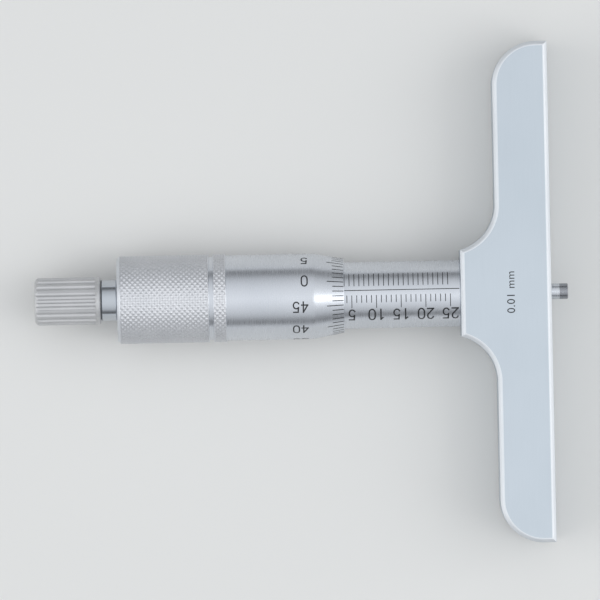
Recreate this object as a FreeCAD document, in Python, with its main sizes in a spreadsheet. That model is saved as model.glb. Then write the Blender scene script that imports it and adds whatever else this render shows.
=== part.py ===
import FreeCAD, Part
import os
import re
import Sketcher

# A depth micrometer, 0 to 25 mm: a T-shaped base whose long edge is the datum face, and a
# micrometer head that pushes a measuring rod out through it.
#
# Frame: origin on the screw's axis at the datum face. +X is the way the rod comes out, +Y runs
# along the base, +Z is up as the instrument lies on its back. Every piece is drawn in a local
# frame turned half a turn about Z, so that local +X is height above the datum face. Pieces that
# feed with the screw are drawn from their own end and shifted by the reading.

SIZES = {
    # base, in millimetres like everything below
    "base_length": 101.6,
    "base_thickness": 16.0,
    "wing_height": 11.2,
    "boss_height": 18.4,
    "boss_width": 17.6,
    "throat_radius": 9.5,
    "shoulder_radius": 8.8,
    "edge_chamfer": 0.6,
    "window_gap": 0.4,
    "window_depth": 1.2,
    # fits
    "running_clearance": 0.04,
    "free_gap": 0.1,
    "cut_overshoot": 1.0,
    # guide bush and rod
    "bush_wall": 1.9,
    "bush_length": 5.8,
    "rod_diameter": 3.2,
    "tip_length": 1.7,
    "tip_chamfer": 0.15,
    "rod_socket_depth": 10.0,
    # spindle and its screw
    "reading": 3.48,
    "travel": 25.0,
    "shank_wall": 1.15,
    "nose_gap": 0.5,
    "screw_diameter": 6.5,
    "thread_pitch": 0.5,
    "thread_depth": 0.3,
    "thread_half_width": 0.2,
    "thread_margin": 0.5,
    "seat_step": 0.75,
    "seat_taper": 0.5,
    "clamp_gap": 0.4,
    # barrel, which carries the internal thread
    "barrel_clearance": 0.25,
    "barrel_wall": 1.75,
    "spigot_step": 0.75,
    "thread_length": 13.0,
    "land_step": 0.45,
    "land_length": 7.7,
    "slit_width": 0.5,
    "slit_length": 6.5,
    "slit_count": 3,
    # graduated sleeve
    "sleeve_wall": 1.5,
    "scale_gap": 2.1,
    "sleeve_overrun": 4.8,
    "spanner_hole_diameter": 1.5,
    "spanner_hole_height": 30.0,
    # adjusting nut
    "nut_inset": 0.25,
    "nut_length": 6.5,
    "nut_standoff": 0.6,
    "notch_wall": 0.5,
    "notch_width": 1.2,
    "notch_depth": 1.4,
    "notch_count": 4,
    # thimble
    "edge_wall": 0.65,
    "taper_length": 6.15,
    "taper_rise": 1.15,
    "plain_length": 17.8,
    "knurl_rise": 0.3,
    "band_length": 2.6,
    "groove_length": 0.9,
    "groove_drop": 0.2,
    "rear_chamfer": 0.6,
    "hub_gap": 2.6,
    "hub_length": 6.0,
    # ratchet stud
    "neck_overlap": 0.7,
    "neck_length": 3.3,
    "neck_chamfer": 0.25,
    "post_diameter": 3.0,
    "stud_thread_length": 10.0,
    # ratchet crowns and their keys
    "crown_width": 2.3,
    "crown_thickness": 1.8,
    "tooth_count": 12,
    "tooth_height": 0.6,
    "tooth_width": 1.1,
    "tooth_tip_width": 0.15,
    "tooth_inner_inset": 0.6,
    "tooth_outer_inset": 0.2,
    "tooth_play": 0.05,
    "slider_thickness": 2.0,
    "key_diameter": 0.9,
    "key_offset": 1.45,
    "key_hole_depth": 1.6,
    # knob
    "knob_wall": 0.9,
    "knob_edge_radius": 1.0,
    "knob_rim": 1.0,
    "knob_front_chamfer": 0.15,
    "flute_count": 21,
    "flute_radius": 0.55,
    "flute_depth": 0.3,
    "web_thickness": 1.0,
    "pocket_step": 0.4,
    "pocket_room": 1.35,
    "cap_thickness": 1.0,
    "cap_bevel_height": 0.2,
    "cap_bevel_width": 0.4,
    # spring, washers and screw
    "spring_width": 0.9,
    "spring_length": 3.45,
    "wire_diameter": 0.4,
    "spring_turns": 4.5,
    "spring_seat_gap": 0.02,
    "washer_width": 1.3,
    "washer_thickness": 0.3,
    "end_float": 0.05,
    "screw_washer_thickness": 0.4,
    "screw_head_diameter": 4.6,
    "screw_head_height": 1.5,
    "screw_shank_diameter": 1.6,
    "screw_shank_length": 5.0,
    "screw_slot_width": 0.6,
    "screw_slot_depth": 0.7,
}

# Radii, worked from the inside out, so that a piece follows what it holds.
ROD = "(rod_diameter / 2)"
WINDOW = f"({ROD} + window_gap)"
BUSH = f"({ROD} + bush_wall)"
SHANK = f"({ROD} + shank_wall)"
SCREW = "(screw_diameter / 2)"
SEAT_FRONT = f"({SCREW} + seat_step)"
SEAT_REAR = f"({SCREW} + seat_step - seat_taper)"
BARREL_BORE = f"({SCREW} + barrel_clearance)"
BARREL = f"({SCREW} + barrel_clearance + barrel_wall)"
SPIGOT = f"({SCREW} + barrel_clearance + barrel_wall - spigot_step)"
NUT_LAND = f"({SCREW} + barrel_clearance + barrel_wall - land_step)"
SLEEVE = f"({BARREL} + sleeve_wall)"
NUT = f"({SLEEVE} - nut_inset)"
THIMBLE_BORE = f"({SLEEVE} + free_gap)"
EDGE = f"({THIMBLE_BORE} + edge_wall)"
DRUM = f"({EDGE} + taper_rise)"
KNURL = f"({DRUM} + knurl_rise)"
GROOVE = f"({DRUM} - groove_drop)"
NECK = f"({SEAT_REAR} + neck_overlap)"
POST = "(post_diameter / 2)"
CROWN = f"({POST} + crown_width)"
CAVITY = f"({CROWN} + free_gap)"
KNOB = f"({CAVITY} + knob_wall)"
POCKET = f"({CAVITY} - pocket_step)"
KEY_CIRCLE = f"({POST} + key_offset)"
SPRING = f"({POST} + spring_width)"

# Heights above the datum face.
BUSH_TOP = "(window_depth + bush_length)"
ZERO = "(boss_height + scale_gap + travel)"
SLEEVE_TOP = f"({ZERO} + sleeve_overrun)"
THREAD_END = f"({SLEEVE_TOP} + land_length)"

# Lengths behind the thimble's scale edge.
NOSE_REACH = f"({ZERO} - travel - {BUSH_TOP} - nose_gap)"
SCREW_REACH = "(travel + sleeve_overrun + land_length + thread_margin)"
KNURL_START = "(taper_length + plain_length + band_length + groove_length)"
HUB_FACE = "(travel + sleeve_overrun + land_length + hub_gap)"
THIMBLE_END = f"({HUB_FACE} + hub_length)"

# Heights above the foot of the ratchet stud.
CROWN_FACE = "(neck_length + crown_thickness)"
SLIDER_FACE = f"({CROWN_FACE} + tooth_height + tooth_play)"
SLIDER_BACK = f"({SLIDER_FACE} + slider_thickness)"
WEB_FRONT = f"({SLIDER_BACK} + spring_length + washer_thickness)"
WEB_BACK = f"({WEB_FRONT} + web_thickness)"
POST_END = f"({WEB_BACK} + end_float)"
SCREW_SEAT = f"({POST_END} + screw_washer_thickness)"
KNOB_FRONT = "(neck_length + free_gap)"
KNOB_BACK = f"({SCREW_SEAT} + screw_head_height + pocket_room + cap_thickness)"

# Where each group of pieces starts, as a height above the datum face.
BASE_START = "0"
ROD_START = "(0 - reading)"
THIMBLE_START = f"({ZERO} - reading)"
STUD_START = f"({ZERO} - reading + {THIMBLE_END})"

doc = FreeCAD.newDocument("depth_micrometer")
nodes = []


def write_sheet():
    sheet = doc.addObject("Spreadsheet::Sheet", "sizes")
    for row, (name, value) in enumerate(SIZES.items(), start=1):
        sheet.set(f"A{row}", name)
        sheet.set(f"B{row}", str(value))
        sheet.setAlias(f"B{row}", name)
    doc.recompute()


def cells(text):
    """A formula over the size names, written as one over the sheet's cells."""
    return re.sub(r"[a-z_]{3,}", lambda found: "sizes." + found.group(0) if found.group(0) in SIZES
                  else found.group(0), text)


def bind(thing, **formulas):
    for path, formula in formulas.items():
        thing.setExpression(path, cells(formula))


def place(thing, start):
    """Turn a piece into the instrument's frame, with its local zero at a height above the face."""
    thing.Placement = FreeCAD.Placement(FreeCAD.Vector(), FreeCAD.Rotation(FreeCAD.Vector(0, 0, 1), 180))
    thing.setExpression("Placement.Base.x", cells(f"-({start})"))


def new_body(name, start):
    body = doc.addObject("PartDesign::Body", name)
    body.Label = name
    place(body, start)
    nodes.append(body)
    return body


def origin_part(body, role):
    return [part for part in body.Origin.OriginFeatures if part.Role == role][0]


def new_sketch(body, role, name, offset="0"):
    """A sketch on one of the body's own planes, lifted off it by a formula."""
    sketch = body.newObject("Sketcher::SketchObject", name)
    sketch.AttachmentSupport = [(origin_part(body, role), "")]
    sketch.MapMode = "FlatFace"
    sketch.setExpression("AttachmentOffset.Base.z", cells(offset))
    return sketch


def fix_point(sketch, piece, end, across, up):
    """Bind one end of a line or arc to a place measured from the sketch's origin."""
    for kind, formula in (("DistanceX", across), ("DistanceY", up)):
        number = sketch.addConstraint(Sketcher.Constraint(kind, -1, 1, piece, end, 1.0))
        sketch.setExpression(f"Constraints[{number}]", cells(formula))


def polygon(sketch, corners):
    """A closed outline whose corners are pairs of formulas."""
    count = len(corners)
    rough = [FreeCAD.Vector(k, k % 2, 0) for k in range(count)]
    for k in range(count):
        sketch.addGeometry(Part.LineSegment(rough[k], rough[(k + 1) % count]), False)
    sketch.addConstraint(
        [Sketcher.Constraint("Coincident", k, 2, (k + 1) % count, 1) for k in range(count)]
    )
    for k, (across, up) in enumerate(corners):
        fix_point(sketch, k, 1, across, up)


def hole_circle(sketch, across, up, diameter):
    sketch.addGeometry(Part.Circle(FreeCAD.Vector(), FreeCAD.Vector(0, 0, 1), 1.0), False)
    fix_point(sketch, 0, 3, across, up)
    number = sketch.addConstraint(Sketcher.Constraint("Diameter", 0, 2.0))
    sketch.setExpression(f"Constraints[{number}]", cells(diameter))


def turned(name, start, profile):
    """A lathe piece: a profile of (height, radius) formulas turned about the axis."""
    body = new_body(name, start)
    sketch = new_sketch(body, "XY_Plane", name + "_profile")
    polygon(sketch, profile)
    turn = body.newObject("PartDesign::Revolution", name + "_turned")
    turn.Profile = sketch
    turn.ReferenceAxis = (sketch, ["H_Axis"])
    turn.Angle = 360
    return body


def ring(low, high, bore, outside):
    """The section of a plain tube, from one height to another."""
    return [(low, bore), (high, bore), (high, outside), (low, outside)]


def cut(body, name, sketch, length, reversed_way=False, both_ways=False):
    pocket = body.newObject("PartDesign::Pocket", name)
    pocket.Profile = sketch
    pocket.Reversed = reversed_way
    pocket.Midplane = both_ways
    bind(pocket, Length=length)
    return pocket


def around(body, name, feature, count):
    """Copies of a feature, evenly spaced about the screw's axis."""
    pattern = body.newObject("PartDesign::PolarPattern", name)
    pattern.Originals = [feature]
    pattern.Axis = (origin_part(body, "X_Axis"), [""])
    pattern.Angle = 360
    bind(pattern, Occurrences=count)
    body.Tip = pattern
    return pattern


def edges_where(feature, test):
    """The names of a feature's edges whose middle point passes a test."""
    return [f"Edge{k}" for k, edge in enumerate(feature.Shape.Edges, start=1) if test(edge)]


def dressed(body, kind, name, feature, edges, **size):
    """A fillet or chamfer on chosen edges of a feature."""
    dressing = body.newObject("PartDesign::" + kind, name)
    dressing.Base = (feature, edges)
    bind(dressing, **size)
    return dressing


def base():
    """The T-shaped base: two low wings, concave throats and a flat-topped boss, bored on the axis."""
    body = new_body("base", BASE_START)
    foot = "(boss_width / 2 + sqrt(throat_radius ^ 2 - (throat_radius + wing_height - boss_height) ^ 2))"
    outline = new_sketch(body, "XY_Plane", "base_outline")
    polygon(outline, [
        ("0", "-base_length / 2"), ("0", "base_length / 2"),
        ("wing_height", "base_length / 2"), ("wing_height", foot),
        ("boss_height", foot), ("boss_height", "-" + foot),
        ("wing_height", "-" + foot), ("wing_height", "-base_length / 2"),
    ])
    block = body.newObject("PartDesign::Pad", "base_block")
    block.Profile = outline
    block.Midplane = True
    bind(block, Length="base_thickness")
    doc.recompute()

    end = SIZES["base_length"] / 2
    corner = SIZES["wing_height"]
    corners = edges_where(block, lambda edge: abs(abs(edge.CenterOfMass.y) - end) < 0.01
                          and abs(edge.CenterOfMass.x - corner) < 0.01)
    feature = dressed(body, "Fillet", "shoulders", block, corners, Radius="shoulder_radius")

    for side, sign in (("right", ""), ("left", "-")):
        throat = new_sketch(body, "XY_Plane", side + "_throat")
        hole_circle(throat, "wing_height + throat_radius", sign + foot, "throat_radius * 2")
        feature = cut(body, side + "_throat_cut", throat, "base_thickness + cut_overshoot", both_ways=True)
    doc.recompute()

    face = SIZES["base_thickness"] / 2
    rim = edges_where(feature, lambda edge: abs(abs(edge.CenterOfMass.z) - face) < 0.01)
    dressed(body, "Chamfer", "outline_chamfer", feature, rim, Size="edge_chamfer")

    bore = new_sketch(body, "XY_Plane", "base_bore_profile")
    polygon(bore, [
        ("-cut_overshoot", "0"), ("-cut_overshoot", WINDOW),
        ("window_depth", WINDOW), ("window_depth", BUSH),
        (BUSH_TOP, BUSH), (BUSH_TOP, SPIGOT),
        ("boss_height + cut_overshoot", SPIGOT), ("boss_height + cut_overshoot", "0"),
    ])
    groove = body.newObject("PartDesign::Groove", "base_bore")
    groove.Profile = bore
    groove.ReferenceAxis = (bore, ["H_Axis"])
    groove.Angle = 360


def rod_bush():
    """The hardened bush, pressed into the base, that guides the rod."""
    turned("rod_bush", BASE_START, ring("window_depth", BUSH_TOP, ROD + " + running_clearance", BUSH))


def barrel():
    """The barrel: a spigot in the base, a long clear bore, and a slit threaded end for the nut."""
    thread_bore = SCREW + " + running_clearance"
    thread_start = THREAD_END + " - thread_length"
    body = turned("barrel", BASE_START, [
        (BUSH_TOP, BARREL_BORE), (BUSH_TOP, SPIGOT),
        ("boss_height", SPIGOT), ("boss_height", BARREL),
        (SLEEVE_TOP, BARREL), (SLEEVE_TOP, NUT_LAND),
        (THREAD_END, NUT_LAND), (THREAD_END, thread_bore),
        (thread_start, thread_bore), (thread_start, BARREL_BORE),
    ])
    slit_start = THREAD_END + " - slit_length"
    slit_end = THREAD_END + " + cut_overshoot"
    slit = new_sketch(body, "XZ_Plane", "slit_outline")
    polygon(slit, [
        (slit_start, "-slit_width / 2"), (slit_end, "-slit_width / 2"),
        (slit_end, "slit_width / 2"), (slit_start, "slit_width / 2"),
    ])
    around(body, "slits", cut(body, "slit", slit, BARREL), "slit_count")


def graduated_sleeve():
    """The outer sleeve that carries the scale, with a blind side hole for the hook spanner."""
    body = turned("graduated_sleeve", BASE_START, ring("boss_height", SLEEVE_TOP, BARREL, SLEEVE))
    hole = new_sketch(body, "XY_Plane", "spanner_hole_outline", "-" + SLEEVE)
    hole_circle(hole, "spanner_hole_height", "0", "spanner_hole_diameter")
    cut(body, "spanner_hole", hole, SLEEVE, reversed_way=True)


def adjusting_nut():
    """The nut that closes the slit end of the barrel to take up play in the thread."""
    start = SLEEVE_TOP + " + nut_standoff"
    end = start + " + nut_length"
    body = turned("adjusting_nut", BASE_START, ring(start, end, NUT_LAND, NUT))
    notch = new_sketch(body, "XZ_Plane", "notch_outline", NUT_LAND + " + notch_wall")
    polygon(notch, [
        (end + " - notch_depth", "-notch_width / 2"), (end + " + cut_overshoot", "-notch_width / 2"),
        (end + " + cut_overshoot", "notch_width / 2"), (end + " - notch_depth", "notch_width / 2"),
    ])
    around(body, "notches", cut(body, "notch", notch, NUT, reversed_way=True), "notch_count")


def measuring_rod():
    """The rod, whose upper end is held in the spindle's socket."""
    end = f"({ZERO} - {NOSE_REACH} + rod_socket_depth)"
    turned("measuring_rod", ROD_START, [
        ("tip_length", "0"), ("tip_length", ROD), (end, ROD), (end, "0"),
    ])


def rod_tip():
    """The hard tip brazed to the rod, with a small chamfer round its measuring face."""
    turned("rod_tip", ROD_START, [
        ("0", "0"), ("0", ROD + " - tip_chamfer"), ("tip_chamfer", ROD),
        ("tip_length", ROD), ("tip_length", "0"),
    ])


def spindle():
    """The spindle: a plain shank bored for the rod, the screw, and the taper that seats the thimble."""
    socket = ROD + " + running_clearance"
    socket_end = f"(rod_socket_depth - {NOSE_REACH} + end_float)"
    hole_end = "(" + THIMBLE_END + " - stud_thread_length - end_float)"
    rear = "(" + THIMBLE_END + " - clamp_gap)"
    rear_radius = SEAT_REAR + " + seat_taper * clamp_gap / hub_length"
    body = turned("spindle", THIMBLE_START, [
        ("-" + NOSE_REACH, socket), ("-" + NOSE_REACH, SHANK), ("0", SHANK),
        ("0", SCREW), (SCREW_REACH, SCREW), (SCREW_REACH, SEAT_FRONT),
        (HUB_FACE, SEAT_FRONT), (rear, rear_radius), (rear, POST),
        (hole_end, POST), (hole_end, "0"), (socket_end, "0"), (socket_end, socket),
    ])
    vee = new_sketch(body, "XY_Plane", "thread_vee")
    polygon(vee, [
        ("thread_pitch / 2 - thread_half_width", SCREW), ("thread_pitch / 2", SCREW + " - thread_depth"),
        ("thread_pitch / 2 + thread_half_width", SCREW),
    ])
    groove = body.newObject("PartDesign::Groove", "thread_groove")
    groove.Profile = vee
    groove.ReferenceAxis = (vee, ["H_Axis"])
    groove.Angle = 360
    thread = body.newObject("PartDesign::LinearPattern", "thread")
    thread.Originals = [groove]
    thread.Direction = (origin_part(body, "X_Axis"), [""])
    bind(thread, Length=SCREW_REACH + " - thread_pitch", Occurrences=SCREW_REACH + " / thread_pitch")
    body.Tip = thread


def thimble():
    """The thimble: tapered scale end, plain barrel, knurled band, groove, main knurl and hub."""
    turned("thimble", THIMBLE_START, [
        ("0", THIMBLE_BORE), ("0", EDGE), ("taper_length", DRUM),
        ("taper_length + plain_length", DRUM), ("taper_length + plain_length", KNURL),
        ("taper_length + plain_length + band_length", KNURL),
        ("taper_length + plain_length + band_length", GROOVE),
        (KNURL_START, GROOVE), (KNURL_START, KNURL), (THIMBLE_END + " - rear_chamfer", KNURL),
        (THIMBLE_END, KNURL + " - rear_chamfer"), (THIMBLE_END, SEAT_REAR),
        (HUB_FACE, SEAT_FRONT), (HUB_FACE, THIMBLE_BORE),
    ])


def ratchet_stud():
    """The stud that clamps the thimble to the spindle and carries the ratchet on its post."""
    turned("ratchet_stud", STUD_START, [
        ("-stud_thread_length", "0"), ("-stud_thread_length", POST),
        ("0", POST), ("0", NECK + " - neck_chamfer"),
        ("neck_chamfer", NECK), ("neck_length - neck_chamfer", NECK),
        ("neck_length", NECK + " - neck_chamfer"), ("neck_length", POST),
        (POST_END, POST), (POST_END, "screw_shank_diameter / 2"),
        (POST_END + " - screw_shank_length", "screw_shank_diameter / 2"),
        (POST_END + " - screw_shank_length", "0"),
    ])


def tooth_outline(sketch, tip, half_width):
    """The section of a ratchet tooth or its gap: one steep flank and one sloping one."""
    root = SLIDER_FACE + " + tooth_outer_inset"
    polygon(sketch, [
        (tip, half_width), (tip, half_width + " - tooth_tip_width"),
        (root, "-" + half_width), (root, half_width),
    ])


def fixed_crown():
    """The toothed crown pressed on the stud's post."""
    body = turned("fixed_crown", STUD_START, ring("neck_length", CROWN_FACE + " + tooth_height",
                                                  POST, CROWN))
    gap = new_sketch(body, "XZ_Plane", "gap_outline")
    tooth_outline(gap, CROWN_FACE, "(tooth_width / 2 + tooth_play)")
    around(body, "gaps", cut(body, "gap", gap, CROWN, reversed_way=True), "tooth_count")


def sliding_crown():
    """The crown that slides on two keys in the knob and clicks over the fixed one."""
    inside = POST + " + running_clearance"
    body = turned("sliding_crown", STUD_START, ring(SLIDER_FACE, SLIDER_BACK, inside, CROWN))
    tooth = new_sketch(body, "XZ_Plane", "tooth_outline", POST + " + tooth_inner_inset")
    tooth_outline(tooth, CROWN_FACE + " + tooth_play", "(tooth_width / 2)")
    pad = body.newObject("PartDesign::Pad", "tooth")
    pad.Profile = tooth
    bind(pad, Length="crown_width - tooth_inner_inset - tooth_outer_inset")
    around(body, "teeth", pad, "tooth_count")
    for side in ("", "-"):
        hole = new_sketch(body, "YZ_Plane", "key_hole_outline", SLIDER_BACK)
        hole_circle(hole, side + KEY_CIRCLE, "0", "key_diameter + running_clearance * 2")
        cut(body, "key_hole", hole, "key_hole_depth")


def crown_keys():
    """Two pins pressed into the knob's web, which turn the sliding crown with the knob."""
    pins = []
    for number, side in enumerate(("", "-"), start=1):
        pin = doc.addObject("Part::Cylinder", f"key_{number}")
        pin.Placement.Rotation = FreeCAD.Rotation(FreeCAD.Vector(0, 1, 0), 90)
        bind(pin, Radius="key_diameter / 2")
        pin.setExpression("Height", cells(f"{WEB_BACK} - {SLIDER_BACK} + key_hole_depth / 2"))
        pin.setExpression("Placement.Base.x", cells(f"{SLIDER_BACK} - key_hole_depth / 2"))
        pin.setExpression("Placement.Base.y", cells(side + KEY_CIRCLE))
        pins.append(pin)
    pair = doc.addObject("Part::Compound", "crown_keys")
    pair.Label = "crown_keys"
    pair.Links = pins
    place(pair, STUD_START)
    nodes.append(pair)


def ratchet_spring():
    """The spring that holds the sliding crown in mesh."""
    body = new_body("ratchet_spring", STUD_START)
    section = new_sketch(body, "XY_Plane", "wire_outline")
    hole_circle(section, SLIDER_BACK + " + wire_diameter / 2 + spring_seat_gap",
                SPRING + " - wire_diameter / 2", "wire_diameter")
    coil = body.newObject("PartDesign::AdditiveHelix", "coil")
    coil.Profile = section
    coil.ReferenceAxis = (section, ["H_Axis"])
    coil.Mode = "height-turns-angle"
    bind(coil, Turns="spring_turns")
    room = f"({WEB_FRONT} - washer_thickness - {SLIDER_BACK})"
    coil.setExpression("Height", cells(room + " - wire_diameter - 2 * spring_seat_gap"))


def thrust_washer():
    turned("thrust_washer", STUD_START, ring(WEB_FRONT + " - washer_thickness", WEB_FRONT,
                                             POST + " + free_gap", SPRING))


def ratchet_knob():
    """The fluted knob, with a cavity for the crowns, a web that runs on the post, and a pocket behind."""
    body = turned("ratchet_knob", STUD_START, [
        (KNOB_FRONT, CAVITY), (KNOB_FRONT, KNOB + " - knob_front_chamfer"),
        (KNOB_FRONT + " + knob_front_chamfer", KNOB), (KNOB_BACK, KNOB),
        (KNOB_BACK, POCKET), (WEB_BACK, POCKET),
        (WEB_BACK, POST + " + running_clearance"),
        (WEB_FRONT, POST + " + running_clearance"), (WEB_FRONT, CAVITY),
    ])
    doc.recompute()
    turning = body.Tip
    limits = turning.Shape.BoundBox
    corner = edges_where(turning, lambda edge: edge.BoundBox.YMax > limits.YMax - 0.01
                         and edge.BoundBox.XMin > limits.XMax - 0.01)
    dressed(body, "Fillet", "rounded_end", turning, corner, Radius="knob_edge_radius")

    for side in ("", "-"):
        hole = new_sketch(body, "YZ_Plane", "web_hole_outline", WEB_FRONT)
        hole_circle(hole, side + KEY_CIRCLE, "0", "key_diameter")
        cut(body, "web_hole", hole, "web_thickness", reversed_way=True)

    flute = new_sketch(body, "YZ_Plane", "flute_outline", KNOB_FRONT + " + knob_rim")
    hole_circle(flute, KNOB + " + flute_radius - flute_depth", "0", "flute_radius * 2")
    around(body, "flutes", cut(body, "flute", flute, KNOB_BACK, reversed_way=True), "flute_count")


def knob_end_cap():
    """The bevelled cap pressed into the end of the knob."""
    turned("knob_end_cap", STUD_START, [
        (KNOB_BACK + " - cap_thickness", "0"), (KNOB_BACK + " - cap_thickness", POCKET),
        (KNOB_BACK + " - cap_bevel_height", POCKET), (KNOB_BACK, POCKET + " - cap_bevel_width"),
        (KNOB_BACK, "0"),
    ])


def screw_washer():
    turned("screw_washer", STUD_START, ring(POST_END, SCREW_SEAT, "screw_shank_diameter / 2",
                                            POST + " + washer_width"))


def retaining_screw():
    """The slotted screw in the end of the post, which keeps the knob on."""
    tip = POST_END + " - screw_shank_length"
    top = SCREW_SEAT + " + screw_head_height"
    body = turned("retaining_screw", STUD_START, [
        (tip, "0"), (tip, "screw_shank_diameter / 2"),
        (SCREW_SEAT, "screw_shank_diameter / 2"), (SCREW_SEAT, "screw_head_diameter / 2"),
        (top, "screw_head_diameter / 2"), (top, "0"),
    ])
    floor = top + " - screw_slot_depth"
    slot = new_sketch(body, "XZ_Plane", "slot_outline")
    polygon(slot, [
        (floor, "-screw_slot_width / 2"), (top + " + cut_overshoot", "-screw_slot_width / 2"),
        (top + " + cut_overshoot", "screw_slot_width / 2"), (floor, "screw_slot_width / 2"),
    ])
    cut(body, "slot", slot, "screw_head_diameter + cut_overshoot", both_ways=True)


def check_and_export():
    """Stop on any failed feature or bad solid, then write one STEP file for each piece."""
    doc.recompute()
    for thing in doc.Objects:
        if "Invalid" in thing.State or "Error" in thing.State:
            raise RuntimeError(f"{thing.Name} failed: {thing.State}")
    os.makedirs("parts", exist_ok=True)
    for node in nodes:
        shape = node.Shape
        if shape.isNull() or not shape.isValid() or shape.Volume <= 0:
            raise RuntimeError(f"{node.Label} has no valid solid")
        shape.exportStep(f"parts/{node.Label}.step")
        print(f"{node.Label}: {len(shape.Solids)} solid, {shape.Volume:.3f} cubic millimetres")


write_sheet()
for build in (base, rod_bush, barrel, graduated_sleeve, adjusting_nut, measuring_rod, rod_tip, spindle,
              thimble, ratchet_stud, fixed_crown, screw_washer, retaining_screw, ratchet_knob, crown_keys,
              thrust_washer, ratchet_spring, knob_end_cap, sliding_crown):
    build()
check_and_export()
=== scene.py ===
import math

import bmesh
import bpy
import numpy as np
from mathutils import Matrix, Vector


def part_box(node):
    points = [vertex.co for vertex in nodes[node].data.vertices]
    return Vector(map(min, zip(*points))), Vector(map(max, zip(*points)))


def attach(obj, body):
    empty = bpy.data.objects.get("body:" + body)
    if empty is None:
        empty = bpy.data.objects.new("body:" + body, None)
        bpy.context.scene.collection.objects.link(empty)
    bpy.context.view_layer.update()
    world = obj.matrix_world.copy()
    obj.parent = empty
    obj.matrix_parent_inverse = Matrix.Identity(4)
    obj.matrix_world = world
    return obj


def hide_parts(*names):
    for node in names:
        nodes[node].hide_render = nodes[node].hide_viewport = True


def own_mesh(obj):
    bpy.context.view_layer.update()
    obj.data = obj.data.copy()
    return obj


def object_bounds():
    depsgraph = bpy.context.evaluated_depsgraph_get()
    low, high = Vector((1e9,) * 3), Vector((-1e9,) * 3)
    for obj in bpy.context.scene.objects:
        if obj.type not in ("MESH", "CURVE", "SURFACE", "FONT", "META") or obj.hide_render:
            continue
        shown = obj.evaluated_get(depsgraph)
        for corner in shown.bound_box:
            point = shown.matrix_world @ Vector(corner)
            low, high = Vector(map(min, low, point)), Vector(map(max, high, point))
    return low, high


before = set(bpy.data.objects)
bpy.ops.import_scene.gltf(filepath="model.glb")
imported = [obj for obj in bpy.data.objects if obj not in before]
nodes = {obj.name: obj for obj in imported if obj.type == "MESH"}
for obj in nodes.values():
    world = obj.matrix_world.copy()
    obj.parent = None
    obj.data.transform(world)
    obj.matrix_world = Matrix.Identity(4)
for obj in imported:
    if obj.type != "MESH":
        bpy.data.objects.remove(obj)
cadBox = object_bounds()
mm = 0.001
print("frame loaded:", len(nodes), "nodes")


def linearColour(hexText):
    # sRGB hex to linear: divide by 12.92 near black, otherwise a 2.4 power
    parts = [int(hexText[i:i + 2], 16) / 255 for i in (0, 2, 4)]
    return [p / 12.92 if p <= 0.04045 else ((p + 0.055) / 1.055) ** 2.4 for p in parts] + [1.0]


def addNode(tree, kind, inputs=None, **settings):
    # one node with its settings; an input is a plain value or another node's output
    node = tree.nodes.new(kind)
    for name, value in settings.items():
        setattr(node, name, value)
    for name, value in (inputs or {}).items():
        if isinstance(value, bpy.types.NodeSocket):
            tree.links.new(value, node.inputs[name])
        else:
            node.inputs[name].default_value = value
    return node


def lowX(node):
    # the end of a solid towards the knob
    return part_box(node)[0].x / mm


def highX(node):
    # the end of a solid towards the rod's tip
    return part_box(node)[1].x / mm


def radiusOf(node):
    # half the width of a solid that is round the axis
    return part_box(node)[1].y / mm


def newFinish(name, baseHex, **values):
    # a tree with a shader and output; values that are even all over sit on the shader's sockets
    material = bpy.data.materials.new(name)
    material.use_nodes = True
    tree = material.node_tree
    tree.nodes.clear()
    shader = addNode(tree, "ShaderNodeBsdfPrincipled",
                     {"Base Color": linearColour(baseHex), **values})
    addNode(tree, "ShaderNodeOutputMaterial", {"Surface": shader.outputs["BSDF"]})
    return material, tree, shader


def metalFinish(name, finish):
    # Metal in three layers: a slow drift between two tones, fine tool lines or grain that vary the
    # gloss, and the same lines as a shallow bump. "grain" is the size of a line or speck along
    # x, y and z, "drift" the size of a patch of tone and "depth" the bump's height, all in
    # millimetres; "gloss" is the roughness at the noise's low and high values.
    low, high = finish["gloss"]
    material, tree, shader = newFinish(name, finish["colour"], Metallic=1.0)
    place = addNode(tree, "ShaderNodeTexCoord").outputs["Object"]
    stretch = [1 / (size * mm) for size in finish["grain"]]
    grainPlace = addNode(tree, "ShaderNodeMapping", {"Vector": place, "Scale": stretch})
    grain = addNode(tree, "ShaderNodeTexNoise", {
        "Vector": grainPlace.outputs[0], "Scale": 1.0, "Detail": 3.0, "Roughness": 0.6})
    drift = addNode(tree, "ShaderNodeTexNoise", {
        "Vector": place, "Scale": 1 / (finish["drift"] * mm), "Detail": 2.0})
    tone = addNode(tree, "ShaderNodeMix", {
        "Factor": drift.outputs["Fac"], "A": linearColour(finish["colour"]),
        "B": linearColour(finish["colour2"])}, data_type="RGBA")
    tree.links.new(tone.outputs["Result"], shader.inputs["Base Color"])
    gloss = addNode(tree, "ShaderNodeMapRange", {
        "Value": grain.outputs["Fac"], "From Min": 0.3, "From Max": 0.7,
        "To Min": low, "To Max": high})
    tree.links.new(gloss.outputs[0], shader.inputs["Roughness"])
    bump = addNode(tree, "ShaderNodeBump", {
        "Height": grain.outputs["Fac"], "Strength": finish["bump"],
        "Distance": finish["depth"] * mm})
    tree.links.new(bump.outputs[0], shader.inputs["Normal"])
    return material


# Surface-ground and chromed plate: hair-fine straight lines along its length, drawn 0.16 mm
# apart because the real ones are too fine to show.
groundPlate = metalFinish("groundChromedSteel", {
    "colour": "C5CDD4", "colour2": "BAC3CA", "grain": (0.16, 9.0, 0.16), "drift": 22.0,
    "gloss": (0.34, 0.48), "bump": 0.3, "depth": 0.012})

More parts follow.
